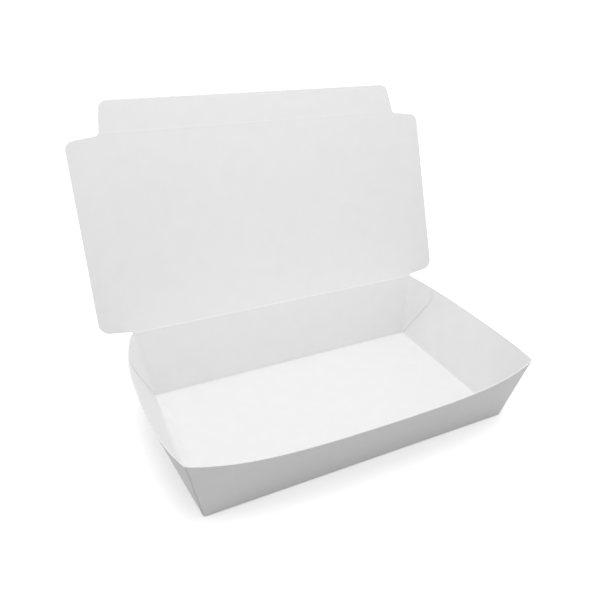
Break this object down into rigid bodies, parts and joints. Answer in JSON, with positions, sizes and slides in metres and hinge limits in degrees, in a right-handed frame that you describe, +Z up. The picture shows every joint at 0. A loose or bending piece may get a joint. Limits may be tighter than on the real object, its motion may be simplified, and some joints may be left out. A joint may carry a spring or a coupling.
{
  "type": "takeaway box",
  "caption": "Open paperboard takeaway box: a shallow folded tray with flaring, bowed walls and a creased-on lid with rounded tuck flaps.",
  "frame": {"origin": "centre of the base's underside, between its four creases", "axes": "+X along the long side, +Y to the back, where the lid's hinge is, +Z up out of the tray"},
  "size_m": [0.2294, 0.169, 0.1641],
  "materials": {
    "paperboard": "matt white solid board"
  },
  "bodies": {
    "tray": {"tray": "paperboard"},
    "lid": {"lid_panel": "paperboard"},
    "front_flap": {"front_tuck_flap": "paperboard"},
    "left_flap": {"left_side_flap": "paperboard"},
    "right_flap": {"right_side_flap": "paperboard"}
  },
  "joints": [
    {"name": "lid_hinge", "type": "hinge", "parent": "tray", "child": "lid", "pos_m": [0, 0.0577, 0.04175], "axis": [1, 0, 0], "range_deg": [-70, 109.9]},
    {"name": "front_flap_crease", "type": "hinge", "parent": "lid", "child": "front_flap", "pos_m": [0, 0.096, 0.14753], "axis": [1, 0, 0], "range_deg": [-20, 98]},
    {"name": "left_flap_crease", "type": "hinge", "parent": "lid", "child": "left_flap", "pos_m": [-0.0971, 0.0577, 0.04175], "axis": [0.008, 0.3404, 0.9403], "range_deg": [-20, 100]},
    {"name": "right_flap_crease", "type": "hinge", "parent": "lid", "child": "right_flap", "pos_m": [0.0971, 0.0577, 0.04175], "axis": [0.008, -0.3404, -0.9403], "range_deg": [-20, 100]}
  ]
}
